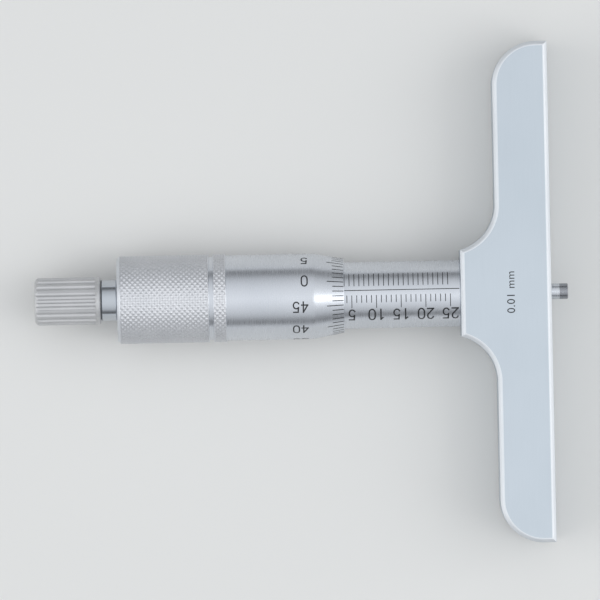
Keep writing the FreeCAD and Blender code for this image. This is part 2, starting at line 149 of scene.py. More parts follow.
# Edges broken by hand with a stone before chroming, which scatters their gloss. Their colour is
# lighter than the ground faces, a painted highlight, so that a pale line runs round the outline.
chamferPaintedHighlight = metalFinish("chamferPaintedHighlightChrome", {
    "colour": "E9ECEF", "colour2": "DEE2E6", "grain": (0.2, 0.2, 0.2), "drift": 12.0,
    "gloss": (0.55, 0.65), "bump": 0.2, "depth": 0.01})

# Chromed after turning: faint rings round the axis, drawn 0.12 mm apart.
turnedChrome = metalFinish("turnedSatinChrome", {
    "colour": "D8DBE0", "colour2": "CDD1D7", "grain": (0.12, 4.0, 4.0), "drift": 8.0,
    "gloss": (0.24, 0.34), "bump": 0.2, "depth": 0.008})

# Pressed knurl under satin chrome: small facets, rougher than the turned chrome, no tool lines; its
# colour is a little lighter than the turned chrome, a painted sheen.
knurlChromePaintedSheen = metalFinish("knurledChromePaintedSheen", {
    "colour": "DEDFE2", "colour2": "D2D4D8", "grain": (0.15, 0.15, 0.15), "drift": 6.0,
    "gloss": (0.46, 0.58), "bump": 0.25, "depth": 0.01})

# Fluted knob: the same chrome over a coarser blast, duller and greyer.
gripChrome = metalFinish("blastedGripChrome", {
    "colour": "D4D4D5", "colour2": "C8C9CA", "grain": (0.18, 0.18, 0.18), "drift": 5.0,
    "gloss": (0.54, 0.66), "bump": 0.3, "depth": 0.012})

# Polished turned steel: tight bright reflection with a trace of rings.
polishedSteel = metalFinish("polishedSteel", {
    "colour": "C9CDD2", "colour2": "BBC0C6", "grain": (0.09, 5.0, 5.0), "drift": 5.0,
    "gloss": (0.12, 0.2), "bump": 0.12, "depth": 0.006})

# Hardened and cylindrically ground rod: clean grey steel, with rings drawn 0.1 mm apart because
# the real ones are too fine to show.
groundRod = metalFinish("groundHardSteel", {
    "colour": "D8DBDF", "colour2": "CCD0D5", "grain": (0.1, 5.0, 5.0), "drift": 6.0,
    "gloss": (0.2, 0.3), "bump": 0.15, "depth": 0.006})

# Tungsten carbide: darker, dense, lapped, with a very fine mottled grain.
carbide = metalFinish("lappedCarbide", {
    "colour": "A2A4A8", "colour2": "909398", "grain": (0.08, 0.08, 0.08), "drift": 1.5,
    "gloss": (0.2, 0.3), "bump": 0.1, "depth": 0.004})

# Plain turned steel inside: coarser tool rings and a duller grey.
turnedSteel = metalFinish("plainTurnedSteel", {
    "colour": "A9ADB1", "colour2": "96999D", "grain": (0.2, 5.0, 5.0), "drift": 4.0,
    "gloss": (0.28, 0.42), "bump": 0.3, "depth": 0.012})

# Hardened steel with a light oil film: darker with a slow brown-grey drift.
hardSteel = metalFinish("hardenedOiledSteel", {
    "colour": "8F9092", "colour2": "7E7C79", "grain": (0.1, 3.0, 3.0), "drift": 3.0,
    "gloss": (0.2, 0.34), "bump": 0.2, "depth": 0.008})

# Drawn spring wire: dark bright wire with small streaks.
springWire = metalFinish("drawnSpringWire", {
    "colour": "74767A", "colour2": "60626A", "grain": (0.08, 0.3, 0.3), "drift": 1.5,
    "gloss": (0.22, 0.36), "bump": 0.2, "depth": 0.006})

# Brass washer: warm yellow, lightly dulled.
brass = metalFinish("dulledBrass", {
    "colour": "C9A65A", "colour2": "B08D48", "grain": (0.1, 0.1, 0.1), "drift": 1.8,
    "gloss": (0.3, 0.45), "bump": 0.2, "depth": 0.006})

enamel = {"colour": "16181B", "dark": "0E0F12", "worn": "2A2C30", "speck": 0.2,
          "gloss": (0.42, 0.7)}


def enamelFinish():
    # Black enamel wiped into cut lines: matt, with small specks that are greyer and duller.
    material, tree, shader = newFinish("blackLineEnamel", enamel["colour"], IOR=1.5)
    place = addNode(tree, "ShaderNodeTexCoord").outputs["Object"]
    speck = addNode(tree, "ShaderNodeTexNoise", {
        "Vector": place, "Scale": 1 / (enamel["speck"] * mm), "Detail": 2.0}).outputs["Fac"]
    shade = addNode(tree, "ShaderNodeMapRange", {
        "Value": speck, "To Min": enamel["gloss"][0], "To Max": enamel["gloss"][1]})
    tree.links.new(shade.outputs[0], shader.inputs["Roughness"])
    tint = addNode(tree, "ShaderNodeValToRGB", {"Fac": speck})
    tint.color_ramp.elements[0].color = linearColour(enamel["dark"])
    tint.color_ramp.elements[1].color = linearColour(enamel["worn"])
    tree.links.new(tint.outputs["Color"], shader.inputs["Base Color"])
    return material


blackEnamel = enamelFinish()
print("materials made")


def meshFrom(name, points, faces, material, body, smooth=True, weld=False):
    # points in millimetres in the frame; one object at the origin, riding on its body
    mesh = bpy.data.meshes.new(name)
    mesh.from_pydata((np.asarray(points) * mm).tolist(), [], faces)
    if weld:  # joins points less than a micrometre apart
        edited = bmesh.new()
        edited.from_mesh(mesh)
        bmesh.ops.remove_doubles(edited, verts=edited.verts, dist=0.001 * mm)
        edited.to_mesh(mesh)
        edited.free()
    mesh.polygons.foreach_set("use_smooth", np.full(len(mesh.polygons), smooth))
    mesh.materials.append(material)
    mesh.update()
    piece = bpy.data.objects.new(name, mesh)
    bpy.context.scene.collection.objects.link(piece)
    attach(piece, body)
    return piece


def secondFinish(piece, material, chosen):
    # gives another finish to the faces picked by chosen, one truth value for each face
    piece.data.materials.append(material)
    piece.data.polygons.foreach_set("material_index", chosen.astype(np.int32))


def gridFaces(rows, columns, closed=False):
    # quads between neighbouring rows, with the last column joined to the first, and the last row
    # to the first where closed
    i, j = np.meshgrid(np.arange(rows if closed else rows - 1), np.arange(columns), indexing="ij")
    k, down = (j + 1) % columns, (i + 1) % rows
    quads = [i * columns + j, i * columns + k, down * columns + k, down * columns + j]
    return np.stack(quads, -1).reshape(-1, 4).tolist()


def softCorner(before, corner, after, cut, support):
    # Five points of the quadratic blend (1-t)^2 A + 2t(1-t) C + t^2 B, for t from 0 to 1, between
    # points A and B that lie one cut away from corner C, and one more point a support's length
    # outside each end, which keeps the flats flat.
    t = np.linspace(0, 1, 5)[:, None]
    inward = (before - corner) / np.linalg.norm(before - corner)
    onward = (after - corner) / np.linalg.norm(after - corner)
    a, b = corner + inward * cut, corner + onward * cut
    arc = (1 - t) ** 2 * a + 2 * t * (1 - t) * corner + t ** 2 * b
    return np.vstack([a + inward * support, arc, b + onward * support])


def softProfile(corners):
    # each corner (x, r, bevel) but the first and last becomes a soft one, its bevel kept under 0.4
    # of the shorter side and its support under 0.05 of it and 0.02 mm
    corners = np.array(corners, float)
    rows = [corners[:1, :2]]
    for before, here, after in zip(corners[:-2, :2], corners[1:-1], corners[2:, :2]):
        corner, bevel = here[:2], here[2]
        shorter = min(np.linalg.norm(before - corner), np.linalg.norm(after - corner))
        rows.append(softCorner(before, corner, after, min(bevel, 0.4 * shorter),
                               min(0.02, 0.05 * shorter)))
    return np.vstack(rows + [corners[-1:, :2]])


def turnedSurface(profile, angles, relief=None, closed=False):
    # The point for row i and angle a is (x_i, r sin a, r cos a), where r is r_i or
    # relief(x_i, r_i, a). The profile runs so that faces point outwards; an end row of no radius
    # closes as a fan, and a closed profile joins its last row to its first.
    x = np.repeat(profile[:, :1], len(angles), 1)
    r = np.repeat(profile[:, 1:2], len(angles), 1)
    if relief is not None:
        r = relief(x, r, np.broadcast_to(angles, r.shape))
    points = np.stack([x, r * np.sin(angles), r * np.cos(angles)], -1)
    columns = len(angles)
    ring = np.arange(columns)
    turn = np.roll(ring, -1)
    poles = [profile[0, 1] < 1e-6, profile[-1, 1] < 1e-6]
    first, last = int(poles[0]), len(profile) - int(poles[1])
    body = points[first:last].reshape(-1, 3)
    faces = gridFaces(last - first, columns, closed)
    if poles[0]:
        body = np.vstack([body, points[0, :1]])
        faces += np.stack([np.full(columns, len(body) - 1), turn, ring], -1).tolist()
    if poles[1]:
        body = np.vstack([body, points[-1, :1]])
        start = (last - first - 1) * columns
        faces += np.stack([np.full(columns, len(body) - 1), start + ring, start + turn], -1).tolist()
    return body, faces


def closedProfile(corners):
    # a ring-shaped section, every corner softened
    return softProfile([corners[-1]] + list(corners) + [corners[0]])[1:-1]


def joined(parts):
    # several sets of points and faces as one
    starts = np.cumsum([0] + [len(points) for points, faces in parts[:-1]]).tolist()
    moved = [[corner + start for corner in face]
             for (points, faces), start in zip(parts, starts) for face in faces]
    return np.vstack([points for points, faces in parts]), moved


def evenAngles(count):
    # angle k is k equal parts of a full turn
    return np.arange(count) * 2 * np.pi / count


def stripFaces(rows, columns):
    # quads of an open patch
    i, j = np.meshgrid(np.arange(rows - 1), np.arange(columns - 1), indexing="ij")
    k = i * columns + j
    return np.stack([k, k + 1, k + columns + 1, k + columns], -1).reshape(-1, 4)


base = {
    # the outline: depth of a wing and of the boss, half the boss, and the radii of the hollow
    # throats and of the wing's shoulders
    "halfLength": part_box("base")[1].y / mm, "halfThickness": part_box("base")[1].z / mm,
    "wing": 11.2, "boss": -lowX("base"), "bossHalf": 8.8, "throat": 9.5, "shoulder": 8.8,
    "cornerBevel": 0.12, "cornerSupport": 0.03, "arcPoints": 25,
    # the edge: its chamfer, how softly that meets the faces, and where the flat face takes over
    "chamfer": 0.6, "faceRound": 0.3, "sideRound": 0.1, "flatFrom": 1.4,
    # the bore from the datum face: window, bush and spigot radii and where each ends
    "window": 2.0, "windowDepth": 1.2, "bush": 3.5, "bushEnd": 7.0, "spigot": 4.5,
    "boreBevel": 0.04, "plateHalf": 6.0,
}


def baseOutline(inset):
    # The outline moved inwards by inset: from the datum edge round by the shoulder arc, the wing's
    # back, the throat arc (which grows as it moves in) and the boss, then mirrored. Every inset
    # gives the same points in the same order.
    top, boss = base["halfLength"] - inset, inset - base["boss"]
    bevel, support = base["cornerBevel"], base["cornerSupport"]
    datumCorner = softCorner(np.array([-inset, base["plateHalf"]]), np.array([-inset, top]),
                             np.array([-inset - 1, top]), bevel, support)
    sweep = np.radians(np.linspace(90, 180, base["arcPoints"]))
    shoulder = (base["shoulder"] - inset) * np.stack([np.cos(sweep), np.sin(sweep)], -1)
    shoulder += (base["shoulder"] - base["wing"], base["halfLength"] - base["shoulder"])
    throatX = -base["wing"] - base["throat"]
    throatY = base["bossHalf"] + math.sqrt(base["throat"] ** 2 - (throatX + base["boss"]) ** 2)
    radius = base["throat"] + inset
    sweep = np.linspace(0, math.acos((boss - throatX) / radius), base["arcPoints"])
    throat = np.stack([throatX + radius * np.cos(sweep), throatY - radius * np.sin(sweep)], -1)
    bossCorner = softCorner(throat[-2], throat[-1], throat[-1] - (0, 1), bevel, support)
    half = np.vstack([[-inset, base["plateHalf"]], datumCorner, shoulder, throat[:-1], bossCorner,
                      [boss, base["plateHalf"]]])
    return np.vstack([half, half[::-1] * (1, -1)])


def plateEdge(halfY, halfZ):
    # points (y, z) round a rectangle, sixteen on each side
    side = np.linspace(-1, 1, 16, endpoint=False)
    ones = np.ones(len(side))
    return np.vstack([np.stack([side, -ones], -1), np.stack([ones, side], -1),
                      np.stack([-side, ones], -1), np.stack([-ones, -side], -1)]) * (halfY, halfZ)


def holedPlate(x, edge, hole, facing):
    # A flat rectangle with a round hole: the point (k, t) lies at fraction t from the hole's rim
    # to the rectangle's edge, along the ray through the k-th point of that edge. The last ring is
    # joined to the four corners by one face on each side.
    rim = edge / np.linalg.norm(edge, axis=1)[:, None] * hole
    t = np.array([0, 0.02, 0.4])[:, None, None]
    count = len(edge)
    quarter, last = count // 4, (len(t) - 1) * count
    flat = np.vstack([(rim + (edge - rim) * t).reshape(-1, 2), edge[::quarter]])
    points = np.concatenate([np.full((len(flat), 1), x), flat], -1)
    faces = gridFaces(len(t), count)
    for side in range(4):
        ring = last + (side * quarter + np.arange(quarter + 1)) % count
        corners = last + count + np.array([(side + 1) % 4, side])
        faces.append(ring.tolist() + corners.tolist())
    return points, [face[::-1] for face in faces] if facing > 0 else faces


# The wall: each row (inset, z) of the section is the outline at that inset. One face at each end
# of the bore is left out of the straight wall, and a holed plate fills it.
faceZ, chamfer = base["halfThickness"], base["chamfer"]
section = softProfile([
    (base["flatFrom"], faceZ, 0), (chamfer, faceZ, base["faceRound"]),
    (0, faceZ - chamfer, base["sideRound"]), (0, chamfer - faceZ, base["sideRound"]),
    (chamfer, -faceZ, base["faceRound"]), (base["flatFrom"], -faceZ, 0)])
rings = np.array([baseOutline(inset) for inset in section[:, 0]])
rows, columns = rings.shape[:2]
heights = np.broadcast_to(section[:, 1, None, None], (rows, columns, 1))
wallPoints = np.concatenate([rings, heights], -1).reshape(-1, 3)
straight = int(np.argmax(section[:-1, 1] - section[1:, 1]))
bossColumn = columns // 2 - 1
plateFaces = {straight * columns + bossColumn, straight * columns + columns - 1}
wallFaces = [face[::-1] for number, face in enumerate(gridFaces(rows, columns))
             if number not in plateFaces]
topAndBottom = [list(range(columns)), list(range((rows - 1) * columns, rows * columns))[::-1]]

edge = plateEdge(base["plateHalf"], section[straight, 1])
bevel = base["boreBevel"]
bore = softProfile([
    (0, base["window"], 0), (-base["windowDepth"], base["window"], bevel),
    (-base["windowDepth"], base["bush"], bevel), (-base["bushEnd"], base["bush"], bevel),
    (-base["bushEnd"], base["spigot"], bevel), (lowX("base"), base["spigot"], 0)])
borePoints, boreFaces = turnedSurface(bore, np.arctan2(edge[:, 0], edge[:, 1])[::-1])
points, faces = joined([
    (wallPoints, wallFaces + topAndBottom), (borePoints, [face[::-1] for face in boreFaces]),
    holedPlate(0, edge, base["window"], 1), holedPlate(lowX("base"), edge, base["spigot"], -1)])
basePiece = meshFrom("baseBar", points, faces, groundPlate, "base_group", weld=True)
centreZ = np.array([face.center.z for face in basePiece.data.polygons]) / mm
belowFace = faceZ - np.abs(centreZ)
# the chamfer faces take the lighter finish, a painted highlight round the outline
secondFinish(basePiece, chamferPaintedHighlight, (belowFace > 0.001) & (belowFace < chamfer + 0.01))
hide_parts("base")
print("base made")

legend = {"words": "0.01 mm", "spacing": 1.08, "length": 8.4, "x": -7.5, "lift": 0.01}
textCurve = bpy.data.curves.new("rangeLegend", "FONT")
textCurve.body = legend["words"]
textCurve.space_character = legend["spacing"]
textHolder = bpy.data.objects.new("rangeLegendText", textCurve)
textMesh = bpy.data.meshes.new_from_object(textHolder)
letters = np.zeros(len(textMesh.vertices) * 3, np.float32)
textMesh.vertices.foreach_get("co", letters)
letters = letters.reshape(-1, 3)
span = np.ptp(letters[:, 0])
letters = (letters - [letters[:, 0].min() + span / 2, 0, 0]) * legend["length"] / span
# laid on the face just above the metal, reading towards +y
laid = np.stack([legend["x"] - letters[:, 1], letters[:, 0],
                 np.full(len(letters), base["halfThickness"] + legend["lift"])], -1)
letterFaces = [list(face.vertices) for face in textMesh.polygons]
bpy.data.objects.remove(textHolder)
meshFrom("rangeLegend", laid, letterFaces, blackEnamel, "base_group", smooth=False)
print("legend made")

sleeve = {
    "radius": radiusOf("graduated_sleeve"), "bore": 5.25, "outerBevel": 0.12, "boreBevel": 0.05,
    "around": 192,
    # the scale: where 0 stands, and the number of millimetre marks after it
    "zero": -45.5, "marks": 25,
    # angles round the axis in degrees from straight up, towards +y: the index line, then where
    # millimetre marks, every fifth one, and half-millimetre marks begin and end
    "indexAngle": 8.5, "tickFrom": 0.0, "tickTo": -13.0, "longTo": -22.6,
    "halfFrom": 16.0, "halfTo": 40.0,
    "indexWidth": 0.16, "indexPastZero": 1.5, "indexShort": 0.25, "tickWidth": 0.15,
    "numerals": {"height": 2.6, "width": 1.35, "gap": 0.5, "line": 0.3}, "numeralAngle": -36.5,
    "lift": 0.012,
}
sleeveTop, sleeveFoot = lowX("graduated_sleeve"), highX("graduated_sleeve")
sleeveRows = closedProfile([
    (sleeveFoot, sleeve["bore"], sleeve["boreBevel"]),
    (sleeveFoot, sleeve["radius"], sleeve["outerBevel"]),
    (sleeveTop, sleeve["radius"], sleeve["outerBevel"]),
    (sleeveTop, sleeve["bore"], sleeve["boreBevel"])])
points, faces = turnedSurface(sleeveRows, evenAngles(sleeve["around"]), closed=True)
sleevePiece = meshFrom("graduatedSleeve", points, faces, turnedChrome, "base_group")
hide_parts("graduated_sleeve")
print("sleeve made")


def linePatches(xs, angles, width, radiusAt, lift, across=3, along=9):
    # Line k runs from (x0, a0) to (x1, a1): its patch point (s, t) lies at fraction t between the
    # ends, moved s half widths sideways, then lifted off the surface of radius radiusAt(x).
    xs, angles = np.asarray(xs, float), np.radians(np.asarray(angles, float))
    t = np.linspace(0, 1, along)[None, :, None]
    s = np.linspace(-1, 1, across)[None, None, :]
    middle = np.mean(radiusAt(xs))
    dx, da = np.diff(xs)[..., None], np.diff(angles)[..., None]
    length = np.hypot(dx, da * middle)
    x = xs[:, :1, None] + dx * t - da * middle / length * width / 2 * s
    a = angles[:, :1, None] + da * t + dx / length * width / 2 / middle * s
    r = radiusAt(x) + lift
    points = np.stack([x, r * np.sin(a), r * np.cos(a)], -1).reshape(-1, 3)
    starts = np.arange(len(xs))[:, None, None] * across * along
    faces = (stripFaces(along, across) + starts).reshape(-1, 4)
    return points, outward(points, faces).tolist()


def outward(points, faces):
    # turns any face round whose normal points towards the axis
    p = points[faces]
    normal = np.cross(p[:, 2] - p[:, 0], p[:, 3] - p[:, 1])
    centre = p.mean(1)
    wrong = normal[:, 1] * centre[:, 1] + normal[:, 2] * centre[:, 2] < 0
    faces = faces.copy()
    faces[wrong] = faces[wrong][:, ::-1]
    return faces


def bow(cx, cy, rx, ry, start, end, count=15):
    # points on an ellipse, angles in degrees
    a = np.radians(np.linspace(start, end, count))
    return np.stack([cx + rx * np.cos(a), cy + ry * np.sin(a)], -1)


# strokes of the numerals in a box 1 wide and 1 high
numeralStrokes = {
    "0": [bow(0.5, 0.68, 0.45, 0.32, 0, 180), [(0.05, 0.68), (0.05, 0.32)],
          bow(0.5, 0.32, 0.45, 0.32, 180, 360), [(0.95, 0.32), (0.95, 0.68)]],
    "1": [[(0.55, 0.0), (0.55, 1.0)], [(0.55, 0.97), (0.22, 0.78)]],
    "2": [bow(0.5, 0.7, 0.43, 0.3, 165, -35), [(0.87, 0.53), (0.08, 0.02)],
          [(0.02, 0.02), (0.97, 0.02)]],
    "3": [bow(0.46, 0.75, 0.42, 0.25, 155, -90), bow(0.46, 0.26, 0.48, 0.26, 90, -155)],
    "4": [[(0.72, 0.0), (0.72, 1.0)], [(0.72, 0.98), (0.04, 0.3)], [(0.0, 0.3), (1.0, 0.3)]],
    "5": [[(0.9, 0.98), (0.2, 0.98)], [(0.2, 1.0), (0.13, 0.52)],
          bow(0.47, 0.33, 0.45, 0.31, 140, -150)],
}


def numeralPatches(texts, xStarts, angles, size, radiusAt, lift):
    # Each numeral's strokes are ribbons: the point (s, t) is the stroke's line at t moved sideways
    # by s, then laid on the piece, reading towards -x with its top towards smaller angles.
    patches = []
    s = np.linspace(-1, 1, 3)[None, :, None]
    for text, xStart, angle in zip(texts, xStarts, angles):
        for place, digit in enumerate(text):
            for stroke in numeralStrokes[digit]:
                line = np.array(stroke, float) * (size["width"], size["height"])
                if len(line) == 2:
                    line = np.linspace(line[0], line[1], 12)
                direction = np.gradient(line, axis=0)
                direction /= np.linalg.norm(direction, axis=1)[:, None]
                line[0] -= direction[0] * size["line"] / 2.5  # a little past each end, as a cutter is
                line[-1] += direction[-1] * size["line"] / 2.5
                side = direction[:, ::-1] * (-1, 1)
                ribbon = line[:, None] + side[:, None] * s * size["line"] / 2
                x = xStart - place * (size["width"] + size["gap"]) - ribbon[..., 0]
                r = radiusAt(x) + lift
                a = math.radians(angle) - (ribbon[..., 1] - size["height"] / 2) / r
                points = np.stack([x, r * np.sin(a), r * np.cos(a)], -1).reshape(-1, 3)
                patches.append((points, outward(points, stripFaces(len(line), 3)).tolist()))
    return joined(patches)


def textSpan(text, size):
    # the numerals' widths and the gaps between them
    return len(text) * size["width"] + (len(text) - 1) * size["gap"]


def sleeveRadius(x):
    # the same radius all along
    return np.full(np.shape(x), sleeve["radius"])


# marks every half millimetre: even ones are whole millimetres, every tenth is long
mark = np.arange(2 * sleeve["marks"] + 1)
markX = sleeve["zero"] + mark / 2
markFrom = np.where(mark % 2 == 0, sleeve["tickFrom"], sleeve["halfFrom"])
markTo = np.where(mark % 10 == 0, sleeve["longTo"],
                  np.where(mark % 2 == 0, sleeve["tickTo"], sleeve["halfTo"]))
ticks = linePatches(np.stack([markX, markX], -1), np.stack([markFrom, markTo], -1),
                    sleeve["tickWidth"], sleeveRadius, sleeve["lift"])
indexEnds = [sleeve["zero"] - sleeve["indexPastZero"], sleeveFoot - sleeve["indexShort"]]
indexLine = linePatches([indexEnds], [[sleeve["indexAngle"]] * 2], sleeve["indexWidth"],
                        sleeveRadius, sleeve["lift"], along=3)
numbers = [str(n) for n in range(0, sleeve["marks"] + 1, 5)]
starts = [sleeve["zero"] + int(n) + textSpan(n, sleeve["numerals"]) / 2 for n in numbers]
sleeveNumbers = numeralPatches(numbers, starts, [sleeve["numeralAngle"]] * len(numbers),
                               sleeve["numerals"], sleeveRadius, sleeve["lift"])
points, faces = joined([ticks, indexLine, sleeveNumbers])
meshFrom("sleeveScale", points, faces, blackEnamel, "base_group")
print("sleeve scale made")

thimble = {
    # radii of the bore, reading edge, plain drum, knurled grip and groove, then the hub's seat
    "bore": 6.85, "edge": 7.5, "drum": 8.65, "grip": radiusOf("thimble"), "groove": 8.45,
    "seatFront": 4.0, "seatRear": 3.5,
    # lengths from the reading edge backwards, and how deep the hub's face is
    "taper": 6.15, "plain": 17.8, "band": 2.6, "grooveLength": 0.9, "rearChamfer": 0.6,
    "hubFace": 40.1,
    # the knurl: grooves of each family round the grip, their pitch along it, depth, the part of
    # the half pitch that slopes, mesh rows in a pitch, and how far it and its finish stay from
    # an edge
    "knurlAround": 50, "knurlPitch": 1.1, "knurlDepth": 0.26, "knurlSlope": 0.9, "samples": 6,
    "knurlMargin": 0.12, "finishMargin": 0.1,
    # the scale: divisions, the one that stands at the index line, marks and numerals
    "divisions": 50, "reading": 48.2, "tickWidth": 0.17, "tick": 2.4, "longTick": 3.5,
    "tickInset": 0.15, "numerals": {"height": 2.2, "width": 1.3, "gap": 0.45, "line": 0.28},
    "numeralStart": 7.4, "lift": 0.012,
}
front, rear = highX("thimble"), lowX("thimble")
taperEnd = front - thimble["taper"]
bandStart = taperEnd - thimble["plain"]
bandEnd = bandStart - thimble["band"]
gripStart = bandEnd - thimble["grooveLength"]
gripEnd = rear + thimble["rearChamfer"]
hubFace = front - thimble["hubFace"]


def knurl(x, r, a):
    # Diamonds between two crossing families of grooves: with u = distance along / pitch and
    # v = turns * count, height = the lower of g(u+v) and g(u-v), where g rises from 0 at each whole
    # number to 1 part way, and the radius drops by depth * (1 - height).
    u = (x - gripStart) / thimble["knurlPitch"]
    v = a * thimble["knurlAround"] / (2 * np.pi)
    g = [np.minimum(np.abs(w - np.round(w)) * 2 / thimble["knurlSlope"], 1) for w in (u + v, u - v)]
    margin = thimble["knurlMargin"]
    onGrip = (x <= gripStart - margin) & (x >= gripEnd - 0.01)
    onBand = (x <= bandStart - margin) & (x >= bandEnd + margin)
    cut = (onGrip | onBand) & (r > thimble["grip"] - 1e-4)
    return np.where(cut, r - thimble["knurlDepth"] * (1 - np.minimum(*g)), r)


def knurlRows(start, end):
    # rows at equal parts of the pitch, counted from the grip's front edge
    step = thimble["knurlPitch"] / thimble["samples"]
    k = np.arange(math.ceil((gripStart - start) / step), math.floor((gripStart - end) / step) + 1)
    return np.stack([gripStart - k * step, np.full(len(k), thimble["grip"])], -1)


thimbleRows = closedProfile([
    (front, thimble["bore"], 0.04), (front, thimble["edge"], 0.1),
    (taperEnd, thimble["drum"], 0.35), (bandStart, thimble["drum"], 0.03),
    (bandStart, thimble["grip"], 0.1), (bandEnd, thimble["grip"], 0.1),
    (bandEnd, thimble["groove"], 0.06), (gripStart, thimble["groove"], 0.06),
    (gripStart, thimble["grip"], 0.1), (gripEnd, thimble["grip"], 0.1),
    (rear, thimble["grip"] - thimble["rearChamfer"], 0.12), (rear, thimble["seatRear"], 0.05),
    (hubFace, thimble["seatFront"], 0.05), (hubFace, thimble["bore"], 0.1)])
inset = thimble["knurlMargin"] + 0.02  # the rows begin just inside the relief's own margin
for start, end in ((bandStart - inset, bandEnd + inset), (gripStart - inset, gripEnd + inset - 0.01)):
    outside = thimbleRows[:, 1] > thimble["drum"] - 1
    at = np.argmax(outside & (thimbleRows[:, 0] < (start + end) / 2))
    thimbleRows = np.vstack([thimbleRows[:at], knurlRows(start, end), thimbleRows[at:]])
points, faces = turnedSurface(thimbleRows, evenAngles(thimble["knurlAround"] * thimble["samples"]),
                              knurl, closed=True)
thimblePiece = meshFrom("thimbleBody", points, faces, turnedChrome, "thimble_group")
corners = points[np.array(faces)]
middleX = corners[:, :, 0].mean(1)
faceRadius = np.hypot(corners[:, 0, 1], corners[:, 0, 2])
margin = thimble["finishMargin"]
onBand = (middleX < bandStart - margin) & (middleX > bandEnd + margin)
onGrip = (middleX < gripStart - margin) & (middleX > gripEnd)
outside = faceRadius > thimble["drum"] - margin
# the knurled band and grip take the lighter chrome, a painted sheen
secondFinish(thimblePiece, knurlChromePaintedSheen, (onBand | onGrip) & outside)
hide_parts("thimble")
print("thimble made:", len(faces), "faces")


def thimbleRadius(x):
    # the taper rises evenly from the edge to the drum
    part = np.clip((front - x) / thimble["taper"], 0, 1)
    return thimble["edge"] + (thimble["drum"] - thimble["edge"]) * part


division = np.arange(thimble["divisions"])
markAngle = sleeve["indexAngle"] + (division - thimble["reading"]) * 360 / thimble["divisions"]
markLength = np.where(division % 5 == 0, thimble["longTick"], thimble["tick"])
markEnds = np.stack([np.full(len(division), front - thimble["tickInset"]), front - markLength], -1)
marks = linePatches(markEnds, np.stack([markAngle, markAngle], -1), thimble["tickWidth"],
                    thimbleRadius, thimble["lift"], across=2, along=4)
numbers = [str(n) for n in division[::5]]
thimbleNumbers = numeralPatches(numbers, [front - thimble["numeralStart"]] * len(numbers),
                                markAngle[::5], thimble["numerals"], thimbleRadius, thimble["lift"])
points, faces = joined([marks, thimbleNumbers])
meshFrom("thimbleScale", points, faces, blackEnamel, "thimble_group")
print("thimble scale made")

stud = {"neck": radiusOf("ratchet_stud"), "neckLength": 3.3, "chamfer": 0.25, "post": 1.5,
        "screw": 0.8, "screwDepth": 5.0, "bevel": 0.05, "around": 128}
studFront, neckStart, studBack = highX("ratchet_stud"), rear, lowX("ratchet_stud")
neckEnd, screwEnd = neckStart - stud["neckLength"], studBack + stud["screwDepth"]
neckSide, bevel = stud["neck"] - stud["chamfer"], stud["bevel"]
studRows = softProfile([
    (studFront, 0, 0), (studFront, stud["post"], 3 * bevel), (neckStart, stud["post"], bevel),
    (neckStart, neckSide, bevel), (neckStart - stud["chamfer"], stud["neck"], bevel),
    (neckEnd + stud["chamfer"], stud["neck"], bevel), (neckEnd, neckSide, bevel),
    (neckEnd, stud["post"], bevel), (studBack, stud["post"], 2 * bevel),
    (studBack, stud["screw"], bevel), (screwEnd, stud["screw"], 2 * bevel), (screwEnd, 0, 0)])
points, faces = turnedSurface(studRows, evenAngles(stud["around"]))
studPiece = meshFrom("ratchetStud", points, faces, polishedSteel, "thimble_group")
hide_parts("ratchet_stud")
print("stud made")

knob = {
    # radii of the outside, the ratchet's cavity, the cap's pocket and the post's hole in the web
    "radius": radiusOf("ratchet_knob"), "cavity": 3.9, "pocket": 3.5, "hole": 1.54, "web": 1.0,
    "rim": 1.0, "frontChamfer": 0.15, "endRound": 1.0,
    "flutes": 21, "fluteRadius": 0.55, "fluteDepth": 0.3,
}
knobFront, knobBack = highX("ratchet_knob"), lowX("ratchet_knob")
webFront = lowX("thrust_washer")
webBack = webFront - knob["web"]
fluteStart = knobFront - knob["rim"]
knobRows = softProfile([
    (knobBack, knob["radius"] - knob["endRound"], 0), (knobBack, knob["pocket"], 0.08),
    (webBack, knob["pocket"], 0.08), (webBack, knob["hole"], 0.04), (webFront, knob["hole"], 0.04),
    (webFront, knob["cavity"], 0.08), (knobFront, knob["cavity"], 0.06),
    (knobFront, knob["radius"] - knob["frontChamfer"], 0.04),
    (knobFront - knob["frontChamfer"], knob["radius"], 0.05),
    (fluteStart + 0.001, knob["radius"], 0)])[1:]
# close rows where the flutes begin, then even ones, then the rounded end
fluteX = fluteStart - np.array([0.001, 0.02, 0.06, 0.3, 2, 4, 6, 8, 10, 11.35])
fluteRows = np.stack([fluteX, np.full(len(fluteX), knob["radius"])], -1)
endArc = np.radians(np.linspace(0, 90, 9))
roundEnd = np.stack([knobBack + knob["endRound"] * (1 - np.sin(endArc)),
                     knob["radius"] - knob["endRound"] * (1 - np.cos(endArc))], -1)
knobRows = np.vstack([knobRows, fluteRows, roundEnd])
fluteCentre = knob["radius"] + knob["fluteRadius"] - knob["fluteDepth"]
flutePitch = 2 * np.pi / knob["flutes"]


def flutes(x, r, a):
    # A flute is part of a round groove along the axis, whose circle has its centre at the radius c.
    # At the angle b from the flute's middle it lies at c cos b - sqrt(fluteRadius^2 - (c sin b)^2),
    # and the surface is at the lower of that and the knob's own radius.
    b = (a + flutePitch / 2) % flutePitch - flutePitch / 2
    inside = knob["fluteRadius"] ** 2 - (fluteCentre * np.sin(b)) ** 2
    groove = fluteCentre * np.cos(b) - np.sqrt(np.maximum(inside, 0))
    groove = np.where(inside > 0, groove, np.inf)
    cut = (x < fluteStart) & (r > knob["cavity"] + 0.05)
    return np.where(cut, np.minimum(r, groove), r)


